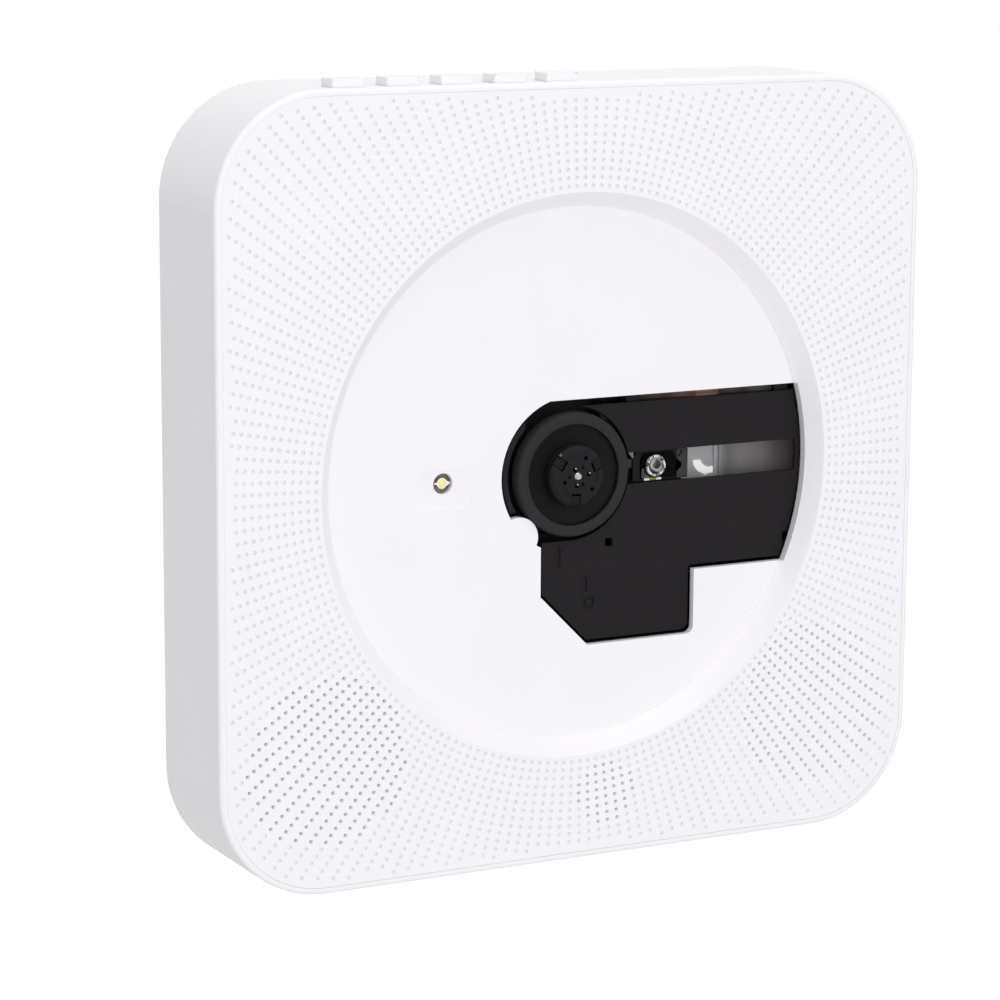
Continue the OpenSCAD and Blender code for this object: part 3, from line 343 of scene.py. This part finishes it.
# Flat black without gloss: painted shade, the dark inside the hub's small pits
moulded("pit_painted_shade", srgb(5, 4, 6), 0.8, 0.3, 0.002, 0.1, Specular_IOR_Level=0.0)
moulded("rubber", srgb(28, 27, 28), 0.75, 0.15, 0.01, 0.08)
moulded("paper_cone", srgb(30, 29, 31), 0.85, 0.5, 0.03, 0.15)
brushed("steel", srgb(196, 195, 197), 0.3, (1, 1, 12))
brushed("bright_sheet", srgb(205, 203, 204), 0.28, (0.5, 4, 9))
brushed("brass", srgb(205, 170, 98), 0.28, (2, 2, 2))
brushed("gold", srgb(136, 130, 72), 0.3, (3, 3, 3))
brushed("coil_wire", srgb(120, 118, 120), 0.3, (6, 6, 6))
brushed("magnet", srgb(72, 71, 74), 0.55, (2, 2, 2))
board("circuit_board", srgb(22, 90, 54))
painted_sheen("plate_painted_sheen", PLATE_PAINTED_SHEEN, 0.4, Metallic=0.2)
painted_sheen("flex", FLEX_PAINTED_SHEEN, 0.3)
painted_sheen("flex_track", TRACK_PAINTED_SHEEN, 0.3)
lens_flange_painted_glare("lens_flange_painted_glare")
lens_glass_painted_arcs("lens")


# ------------------------------------------------------------ mesh building
def ring(x, y, r, n):
    """n points round a circle."""
    return [(x + r * math.cos(a), y + r * math.sin(a)) for a in (math.tau * i / n for i in range(n))]


def arc(x, y, r, start, end, n):
    """Points along an arc, its ends included, in degrees."""
    return [
        (x + r * math.cos(a), y + r * math.sin(a))
        for a in (math.radians(start + (end - start) * i / n) for i in range(n + 1))
    ]


def rounded(x0, y0, x1, y1, r, n=5):
    """A rectangle with round corners, counter-clockwise."""
    corners = ((x1 - r, y1 - r, 0), (x0 + r, y1 - r, 90), (x0 + r, y0 + r, 180), (x1 - r, y0 + r, 270))
    return [p for x, y, a in corners for p in arc(x, y, r, a, a + 90, n)]


def case_outline(inset):
    """The face's rounded square, set in from the case's own outline."""
    side = HALF - inset
    return rounded(-side, -side, side, side, CORNER_R - inset, 20)


def edge_distance(x, y):
    """How far a place on the face lies inside the case's outline."""
    c = HALF - CORNER_R
    ax, ay = abs(x) - c, abs(y) - c
    if ax > 0 and ay > 0:
        return CORNER_R - math.hypot(ax, ay)
    return CORNER_R - max(ax, ay)


class Mesh:
    """A mesh built from loops of points on the face, each at a depth."""

    def __init__(self):
        self.bm = bmesh.new()

    def loop(self, points, d):
        return [self.bm.verts.new(point(x, y, d)) for x, y in points]

    def face(self, verts, material=0, flip=False):
        made = self.bm.faces.new(reversed(verts) if flip else verts)
        made.material_index = material

    def fill(self, loops, d, material=0, back=False):
        """The area inside the first loop and outside the others."""
        flat, faces = [], []
        for points in loops:
            faces.append(list(range(len(flat), len(flat) + len(points))))
            flat += [Vector(p) for p in points]
        places, _, triangles, _, _, origins = delaunay_2d_cdt(flat, [], faces, 0, 1e-6)
        verts = self.loop(places, d)
        for triangle, origin in zip(triangles, origins):
            if list(origin) == [0]:
                self.face([verts[i] for i in triangle], material, flip=back)

    def wall(self, near, d_near, far, d_far, material=0, inward=False):
        """A band between two loops with as many points each."""
        a, b = self.loop(near, d_near), self.loop(far, d_far)
        n = len(a)
        for i in range(n):
            j = (i + 1) % n
            self.face([a[j], a[i], b[i], b[j]], material, flip=inward)

    def prism(self, outline, d_front, d_back, holes=(), material=0):
        """A plate with that outline, which runs counter-clockwise, and with holes through it."""
        self.fill([outline, *holes], d_front, material, back=True)
        self.wall(outline, d_front, outline, d_back, material)
        for hole in holes:
            self.wall(hole, d_front, hole, d_back, material, inward=True)
        self.fill([outline, *holes], d_back, material)

    def lathe(self, x, y, bands, n=128):
        """A turned surface about an axis through x, y. Each band is a material and the radii and
        depths that it runs through, from the middle of the front outwards and round to the back."""
        profile = [(r, d, material) for material, run in bands for r, d in run]
        loops = []
        for r, d, _ in profile:
            loops.append(self.loop(ring(x, y, r, n), d) if r else self.loop([(x, y)], d) * n)
        for (a, b), (_, _, material) in zip(zip(loops, loops[1:]), profile):
            for i in range(n):
                j = (i + 1) % n
                corners = [a[j], a[i], b[i], b[j]]
                self.face([v for k, v in enumerate(corners) if v not in corners[:k]], material)

    def piece(self, name, materials, body, sharp_deg=32.0):
        """Merges what meets, shades it and makes it an object that rides on a body."""
        bmesh.ops.remove_doubles(self.bm, verts=self.bm.verts, dist=1e-6)
        for face in self.bm.faces:
            face.smooth = True
        for edge in self.bm.edges:
            edge.smooth = edge.calc_face_angle(math.pi) < math.radians(sharp_deg)
        data = bpy.data.meshes.new(name)
        self.bm.to_mesh(data)
        self.bm.free()
        for material in materials:
            data.materials.append(MATERIALS[material])
        made = bpy.data.objects.new(name, data)
        bpy.context.scene.collection.objects.link(made)
        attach(made, body)
        return made


# -------------------------------------------------------- the skin and the well
def open_fields():
    """Round patches of open holes: x, y and radius of each."""
    fields = [RECEIVER_FIELD]
    for basket in ("speaker_basket_left", "speaker_basket_right"):
        (x0, _, _), (x1, _, _) = box_mm(basket)
        fields.append((*middle_of(basket), (x1 - x0) / 2 - SPEAKER_MARGIN))
    return fields


def dots():
    """Every hole of the pattern: its place, and whether it goes right through."""
    fields = open_fields()
    for k in range(RING_COUNT):
        for j in range(HOLE_ROWS):
            r, a = FIRST_RING_R + k * RING_PITCH, math.tau * j / HOLE_ROWS
            x, y = r * math.cos(a), r * math.sin(a)
            if edge_distance(x, y) >= HOLE_BORDER:
                yield x, y, any(math.hypot(x - fx, y - fy) < fr for fx, fy, fr in fields)


def front_skin():
    """Perforated front skin: open holes in the three fields and blind dimples elsewhere."""
    mesh = Mesh()
    plain, shade, open_wall = range(3)
    inset = SKIN_INSET - SKIN_REACH
    edge, front_edge = case_outline(inset), case_outline(inset + SKIN_EDGE_R)
    lip = ring(0, 0, LIP_RING_R, 256)
    mouths, backs = [], []
    for x, y, through in dots():
        mouth = ring(x, y, HOLE_R + HOLE_CHAMFER, HOLE_SIDES)
        bore = ring(x, y, HOLE_R, HOLE_SIDES)
        mouths.append(mouth)
        mesh.wall(mouth, 0, bore, HOLE_CHAMFER, plain, inward=True)
        if through:
            # The open bores glow faintly: painted light.
            mesh.wall(bore, HOLE_CHAMFER, bore, SKIN_T, open_wall, inward=True)
            backs.append(bore)
        else:
            mesh.wall(bore, HOLE_CHAMFER, bore, BLIND_DEPTH, shade, inward=True)
            mesh.face(mesh.loop(bore, BLIND_DEPTH), shade, flip=True)
    mesh.fill([front_edge, lip, *mouths], 0, plain, back=True)
    mesh.wall(front_edge, 0, edge, SKIN_EDGE_R)
    mesh.wall(edge, SKIN_EDGE_R, edge, SKIN_T)
    mesh.wall(lip, 0, lip, SKIN_T, inward=True)
    mesh.fill([edge, lip, *backs], SKIN_T)
    skin = mesh.piece("front_skin", ["white_front", "hole_shade", "hole_wall_painted_glow"], "case")
    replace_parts(skin, "front_grille")


def opening_trim():
    """Fills the low step in the top edge of the opening, right of the spindle. It reaches a little
    into the floor and lies a hair behind the floor's surface."""
    mesh = Mesh()
    reach, hair = 0.3, 0.004
    start = math.degrees(math.asin(OPENING_TOP / (OPENING_R + reach)))
    outline = [(-reach, OPENING_TOP)] + arc(0, 0, OPENING_R + reach, start, 91, 12)
    mesh.prism(outline, WELL_DEPTH + hair, WELL_DEPTH + FLOOR_T)
    mesh.piece("opening_trim", ["white_shell"], "case")


def sensor_light():
    """Light beside the turntable: a yellow dome in a pale rim, with a pointed lead to each side."""
    mesh = Mesh()
    rim, yellow, holder = range(3)
    x, y = middle_of("disc_sensor")
    foot_r, foot_d, lead_front, lead_back = 1.32, 7.4, 5.85, 6.3
    mesh.lathe(x, y, [
        (yellow, [(0, 5.5), (0.55, 5.55), (0.93, 5.75)]),
        (rim, [(0.98, 5.8), (1.28, 5.82)]),
        (holder, [(1.34, 5.95), (foot_r, 6.8), (foot_r, foot_d), (0, foot_d)]),
    ], 48)
    for lead in ([(-1.2, 0.3), (-2.0, 0.16), (-2.0, -0.16), (-1.2, -0.3)],
                 [(1.1, -0.7), (2.15, -0.08), (2.15, 0.08), (1.1, 0.7)]):
        mesh.prism([(x + px, y + py) for px, py in lead], lead_front, lead_back, material=rim)
    made = mesh.piece("sensor_light", ["sensor_rim", "sensor", "holder_grey"], "case")
    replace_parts(made, "disc_sensor")


# ----------------------------------------------------------- the mechanism
def platter():
    """Turntable: a raised seat for the disc round a black annulus, with its boss behind."""
    mesh = Mesh()
    grey, dark = 0, 1
    bore_r, boss_r, boss_end = 1.0, 3.0, 14.0
    rim_r, rim_end, skirt_r, skirt_end, web_d = 15.2, 7.25, 13.6, 7.4, 6.8
    annulus = [(bore_r, TRAY_D), (11.9, TRAY_D), (12.15, TRAY_D - 0.08), (12.25, TRAY_D - 0.3)]
    seat = [(12.3, SEAT_D + 0.3), (12.42, SEAT_D + 0.08), (12.7, SEAT_D), (14.5, SEAT_D),
            (14.75, SEAT_D + 0.06), (15.05, SEAT_D + 0.4), (rim_r, SEAT_D + 0.75)]
    back = [(rim_r, rim_end), (15.05, skirt_end), (skirt_r, skirt_end), (skirt_r, web_d), (boss_r, web_d),
            (boss_r, boss_end), (bore_r, boss_end), (bore_r, TRAY_D)]
    mesh.lathe(0, 0, [(dark, annulus), (grey, seat + back)])
    made = mesh.piece("platter", ["platter_ring", "platter_dark"], "rotor")
    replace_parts(made, "turntable")


def hub_details():
    """Black patches on the hub's face, painted shade for its small square and round pits; in each square
    one a small steel chip that stands in for a glint; and the painted glint of the claw at the upper
    left."""
    mesh = Mesh()
    black, steel, wire = range(3)
    pit, glint_chip_w, glint_chip_h = 0.5, 0.2, 0.15
    pit_d, glint_d, glint_chip_d, root_d = HUB_D - 0.02, HUB_D - 0.04, HUB_D - 0.05, HUB_D + 0.3
    for x, y, sx, sy in ((-0.96, 1.66, 0.25, 0.28), (2.89, 0.38, 0.2, 0.25), (-0.37, -2.29, 0.2, 0.3)):
        mesh.prism(rounded(x - pit, y - pit, x + pit, y + pit, 0.12), pit_d, root_d, material=black)
        x, y = x + sx, y + sy
        glint_chip = rounded(x - glint_chip_w, y - glint_chip_h, x + glint_chip_w, y + glint_chip_h, 0.08)
        mesh.prism(glint_chip, glint_chip_d, root_d, material=steel)
    for x, y in ((2.02, 4.35), (-3.65, -1.29), (3.76, -3.35)):
        mesh.prism(ring(x, y, pit, 24), pit_d, root_d, material=black)
    x, y = CLAW_GLINT
    glint = [(x + 0.5, y - 0.1), (x + 0.1, y + 0.1), (x, y + 0.6),
             (x - 0.1, y + 0.1), (x - 0.5, y - 0.1), (x, y - 0.4)]
    mesh.prism(glint, glint_d, root_d, material=wire)
    mesh.piece("hub_details", ["pit_painted_shade", "steel", "coil_wire"], "rotor")


def lens():
    """Objective lens: a dark glass dome in its pale flange."""
    mesh = Mesh()
    glass, flange = 0, 1
    flange_r, back = 2.7, 7.5
    mesh.lathe(LENS_X, 0, [
        (glass, [(0, 6.3), (0.6, 6.33), (1.1, 6.45), (1.55, 6.64), (1.9, 6.9)]),
        (flange, [(1.95, 6.95), (2.02, 6.6), (2.15, 6.45), (2.4, 6.42), (2.6, 6.5), (flange_r, 6.75),
                  (flange_r, back), (0, back)]),
    ], 64)
    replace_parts(mesh.piece("lens", ["lens", "lens_flange_painted_glare"], "lens", 50), "objective_lens")


def lens_frame():
    """Holder of the lens, with a focus coil looking out at its lower left."""
    mesh = Mesh()
    black, wire = 0, 1
    front, back, collar_front, collar_back = 7.35, 8.05, 7.0, 7.4
    x, half, bevel = LENS_X, 3.7, 1.6
    low, high = -2.9, 2.9
    hole = ring(x, 0, 2.72, 48)
    outline = [(x - half, low), (x + half, low), (x + half, high - bevel), (x + half - bevel, high),
               (x - half + bevel, high), (x - half, high - bevel)]
    mesh.prism(outline, front, back, [hole], black)
    mesh.prism(ring(x, 0, 3.05, 48), collar_front, collar_back, [hole], black)
    for step in (0.0, 0.45, 0.9):
        outer = rounded(x - 3.65 + step, -2.85 + step * 0.5, x - 1.6, -0.6 - step * 0.4, 0.4)
        inner = rounded(x - 3.5 + step, -2.7 + step * 0.5, x - 1.75, -0.75 - step * 0.4, 0.3)
        mesh.prism(outer, 7.22 + step * 0.1, collar_back, [inner], wire)
    made = mesh.piece("lens_frame", ["black_gloss", "coil_wire"], "lens")
    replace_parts(made, "lens_holder")


def pickup_top():
    """What shows on the sled round the lens: a yoke, two grey blocks, a rib, a clip, a boss and
    three pads."""
    mesh = Mesh()
    black, grey, wire, pale, gold = range(5)
    x, top, deep = LENS_X, 7.5, 9.3
    yoke = [(x + 3.0, 3.3), (x + 2.6, 2.5), (x + 4.0, -0.6), (x + 4.1, -3.3), (x + 6.3, -3.3),
            (x + 6.4, -1.9), (x + 7.6, -0.9), (x + 7.7, 0.1), (x + 6.6, 0.9), (x + 5.0, 3.3)]
    mesh.prism(yoke, top, 7.9, material=black)
    mesh.prism(rounded(x + 6.2, -3.65, x + 9.4, 3.65, 0.3), top, 9.1, material=grey)
    rib = arc(x + 6.3, 3.2, 1.5, -80, -5, 8)
    rib_inner = [(px - 0.35, py + 0.1) for px, py in reversed(rib)]
    mesh.prism(rib + rib_inner, 7.45, 7.6, material=black)
    mesh.prism([(x - 7.3, 3.6), (x - 6.1, 2.1), (x - 5.0, 3.6)], 7.6, 9.2, material=wire)
    mesh.prism(rounded(x - 7.2, -0.3, x - 5.5, 1.9, 0.2), 8.2, deep, material=grey)
    mesh.prism(ring(x - 6.3, -2.9, 0.75, 24), 8.0, deep, [ring(x - 6.3, -2.9, 0.35, 24)], black)
    pads = ((-2.9, -1.45, -3.05, pale), (-1.4, 0.45, -2.85, gold), (0.5, 1.9, -3.05, pale))
    for x0, x1, high, finish in pads:
        mesh.prism(rounded(x + x0, -3.62, x + x1, high, 0.12), 7.3, 7.8, material=finish)
    finishes = ["black_gloss", "grey_plastic", "coil_wire", "label_white", "gold"]
    mesh.piece("pickup_top", finishes, "sled")


def shield():
    """Bright plate deep under the slot: a pressed tray with a painted highlight on its rim, and a raised
    fold.
    """
    mesh = Mesh()
    plate, pale = 0, 1
    (x0, _, y0), (x1, _, y1) = box_mm("bottom_shield")
    front, back = 15.0, 15.6
    tray_d, fold_d, rim_d = front + 0.45, front - 0.35, front + 0.1
    outline = rounded(x0, y0, x1, y1, 0.8)
    tray = [(45.6, 9.0), (39.5, 9.0)] + arc(43.7, -0.9, 4.2, 180, 262, 12) + [(45.6, -4.9)]
    fold = rounded(46.9, y0 + 0.6, 48.6, y1 - 0.6, 0.1)
    mesh.fill([outline, tray, fold], front, plate, back=True)
    mesh.wall(tray, front, tray, tray_d, plate, inward=True)
    mesh.fill([tray], tray_d, plate, back=True)
    mesh.wall(fold, front, fold, fold_d, plate, inward=True)
    mesh.fill([fold], fold_d, plate, back=True)
    mesh.wall(outline, front, outline, back)
    mesh.fill([outline], back, plate)
    # A crescent on the tray's rim and a strip along the lower edge glow: painted highlights.
    outer, inner = arc(43.6, -0.9, 3.9, 185, 262, 10), arc(44.6, -0.2, 3.0, 268, 200, 8)
    crescent = outer + [(45.4, -4.6), (45.4, -3.1)] + inner
    for rim in (crescent, rounded(34.5, -5.5, 45.4, -5.0, 0.1)):
        mesh.prism(rim, rim_d, tray_d, material=pale)
    made = mesh.piece("shield", ["plate_painted_sheen", "rim_painted_glow"], "case")
    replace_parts(made, "bottom_shield")


def ribbon():
    """Flex cable in the gap above the cover, gently waved, with its bare tracks."""
    mesh = Mesh()
    (x0, _, y0), (x1, _, y1) = box_mm("flex_cable")
    steps, rows, depth, thickness = 72, 9, 8.15, 0.14
    front, rear = [], []
    for sheet, d in ((front, depth), (rear, depth + thickness)):
        for i in range(steps + 1):
            along = (x1 - x0) * i / steps
            wave = 0.3 * math.sin(math.tau * along / 21) + 0.12 * math.sin(math.tau * along / 7.3)
            row = [(x0 + along, y0 + (y1 - y0) * j / rows) for j in range(rows + 1)]
            sheet.append(mesh.loop(row, d + wave))
    for sheet, flip in ((front, False), (rear, True)):
        for i in range(steps):
            for j in range(rows):
                corners = [sheet[i][j], sheet[i + 1][j], sheet[i + 1][j + 1], sheet[i][j + 1]]
                mesh.face(corners, j % 2, flip)
    for j, flip in ((0, False), (rows, True)):
        for i in range(steps):
            mesh.face([front[i][j], front[i + 1][j], rear[i + 1][j], rear[i][j]], 0, flip)
    for i, flip in ((0, True), (steps, False)):
        for j in range(rows):
            mesh.face([front[i][j], front[i][j + 1], rear[i][j + 1], rear[i][j]], 0, flip)
    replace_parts(mesh.piece("ribbon", ["flex", "flex_track"], "case", 60), "flex_cable")


# --------------------------------------------------------------- CAD nodes
# Nodes whose sharp edges are rounded, by so many mm
EDGE_ROUNDING = {
    "mech_cover": 0.1, "mech_chassis": 0.14, "clamp_hub": 0.12,
    "pickup_sled": 0.15, "actuator_base": 0.12, "sled_rack": 0.05,
    **{f"claw_{i}": 0.12 for i in range(1, 4)},
    **{f"button_{i}": 0.22 for i in range(1, 6)},
    **{f"{kind}_socket": 0.12 for kind in ("usb", "audio", "power")},
}

# Nodes that show in another material than their slot's
OWN_MATERIAL = {
    # The chassis in a paler black, painted light for its shaded hollows
    "mech_chassis": "chassis_painted_light",
    "feed_gear": "black_plastic",
    "sensor_holder": "holder_grey",
}


def soften(made, width):
    """Rounds the sharp edges of a CAD node by so many mm."""
    weld = made.modifiers.new("weld", "WELD")
    weld.merge_threshold = 1e-6
    bevel = made.modifiers.new("bevel", "BEVEL")
    bevel.width = width * MM
    bevel.segments = 2
    bevel.limit_method = "ANGLE"
    bevel.angle_limit = math.radians(40)
    bevel.use_clamp_overlap = False
    bevel.harden_normals = True


def dress_cad_nodes():
    """Gives each CAD node the material of its slot or its own, and softens the edges that show."""
    slots = {s["node"]: s["material_slot"] for s in frame["record"]["subparts"]}
    for name, made in frame["nodes"].items():
        made.data.materials.clear()
        made.data.materials.append(MATERIALS[OWN_MATERIAL.get(name, slots[name])])
        if name in EDGE_ROUNDING:
            soften(made, EDGE_ROUNDING[name])


# ------------------------------------------------------------------- stage
def camera():
    """The photograph's view of the case."""
    az, el, roll = (math.radians(a) for a in (CAMERA_AZIMUTH, CAMERA_ELEVATION, CAMERA_ROLL))
    ahead = Vector((math.sin(az) * math.cos(el), math.cos(az) * math.cos(el), -math.sin(el)))
    level = ahead.cross(Vector((0, 0, 1))).normalized()
    upright = level.cross(ahead)
    right = math.cos(roll) * level + math.sin(roll) * upright
    up = math.cos(roll) * upright - math.sin(roll) * level
    middle = Vector((0, FRONT / 2, 0))
    place = middle - ahead * CAMERA_DISTANCE + right * CAMERA_RIGHT + up * CAMERA_UP
    data = bpy.data.cameras.new("camera")
    data.sensor_width = SENSOR_WIDTH
    data.lens = FOCAL_LENGTH
    data.clip_start = 0.01
    data.clip_end = 20
    made = bpy.data.objects.new("camera", data)
    turn = Matrix((right, up, -ahead)).transposed()
    made.matrix_world = Matrix.Translation(place * MM) @ turn.to_4x4()
    bpy.context.scene.collection.objects.link(made)
    bpy.context.scene.camera = made


def area_light(name, place, size, power):
    """A square lamp that faces the middle of the case's back."""
    data = bpy.data.lights.new(name, "AREA")
    data.shape = "SQUARE"
    data.size = size
    data.energy = power
    made = bpy.data.objects.new(name, data)
    made.location = place
    made.rotation_euler = (-Vector(place)).to_track_quat("-Z", "Y").to_euler()
    bpy.context.scene.collection.objects.link(made)


def world():
    """Plain light all round, and white where the camera, a reflection or glass looks at it."""
    made = bpy.data.worlds.new("studio")
    made.use_nodes = True
    bpy.context.scene.world = made
    made.node_tree.nodes.remove(made.node_tree.nodes["Background"])
    path = node(made, "LightPath")
    camera_or_gloss = node(made, "Math", operation="MAXIMUM")
    looked_at = node(made, "Math", operation="MAXIMUM")
    light = node(made, "Background", Color=(1, 1, 1, 1), Strength=AMBIENT)
    white = node(made, "Background", Color=(1, 1, 1, 1), Strength=1.0)
    mix = node(made, "MixShader")
    link(made, path.outputs["Is Camera Ray"], camera_or_gloss.inputs[0])
    link(made, path.outputs["Is Glossy Ray"], camera_or_gloss.inputs[1])
    link(made, camera_or_gloss.outputs[0], looked_at.inputs[0])
    link(made, path.outputs["Is Transmission Ray"], looked_at.inputs[1])
    link(made, looked_at.outputs[0], mix.inputs["Fac"])
    link(made, light.outputs[0], mix.inputs[1])
    link(made, white.outputs[0], mix.inputs[2])
    link(made, mix.outputs[0], made.node_tree.nodes["World Output"].inputs["Surface"])


def floor():
    """A pale floor well below the player, which hangs on a wall. It glows a little to the camera
    alone, so that it melts into the white background and still shows a shadow."""
    mat, bsdf = shader("floor", srgb(236, 236, 236), 1.0, Specular_IOR_Level=0.0, **lit(0))
    glow = node(mat, "Math", operation="MULTIPLY")
    glow.inputs[1].default_value = FLOOR_GLOW
    link(mat, node(mat, "LightPath").outputs["Is Camera Ray"], glow.inputs[0])
    link(mat, glow.outputs[0], bsdf.inputs["Emission Strength"])
    a, z = FLOOR_HALF, FLOOR_LEVEL
    corners = [(-a, -a, z), (a, -a, z), (a, a, z), (-a, a, z)]
    data = bpy.data.meshes.new("floor")
    data.from_pydata(corners, [], [(0, 1, 2, 3)])
    data.materials.append(mat)
    made = bpy.data.objects.new("floor", data)
    bpy.context.scene.collection.objects.link(made)


dress_cad_nodes()
for make in (front_skin, opening_trim, platter, hub_details, lens, lens_frame, pickup_top, shield,
             sensor_light, ribbon):
    make()
camera()
world()
floor()
area_light("front_light", *FRONT_LIGHT)
area_light("top_light", *TOP_LIGHT)
bpy.context.scene.view_settings.view_transform = "Standard"
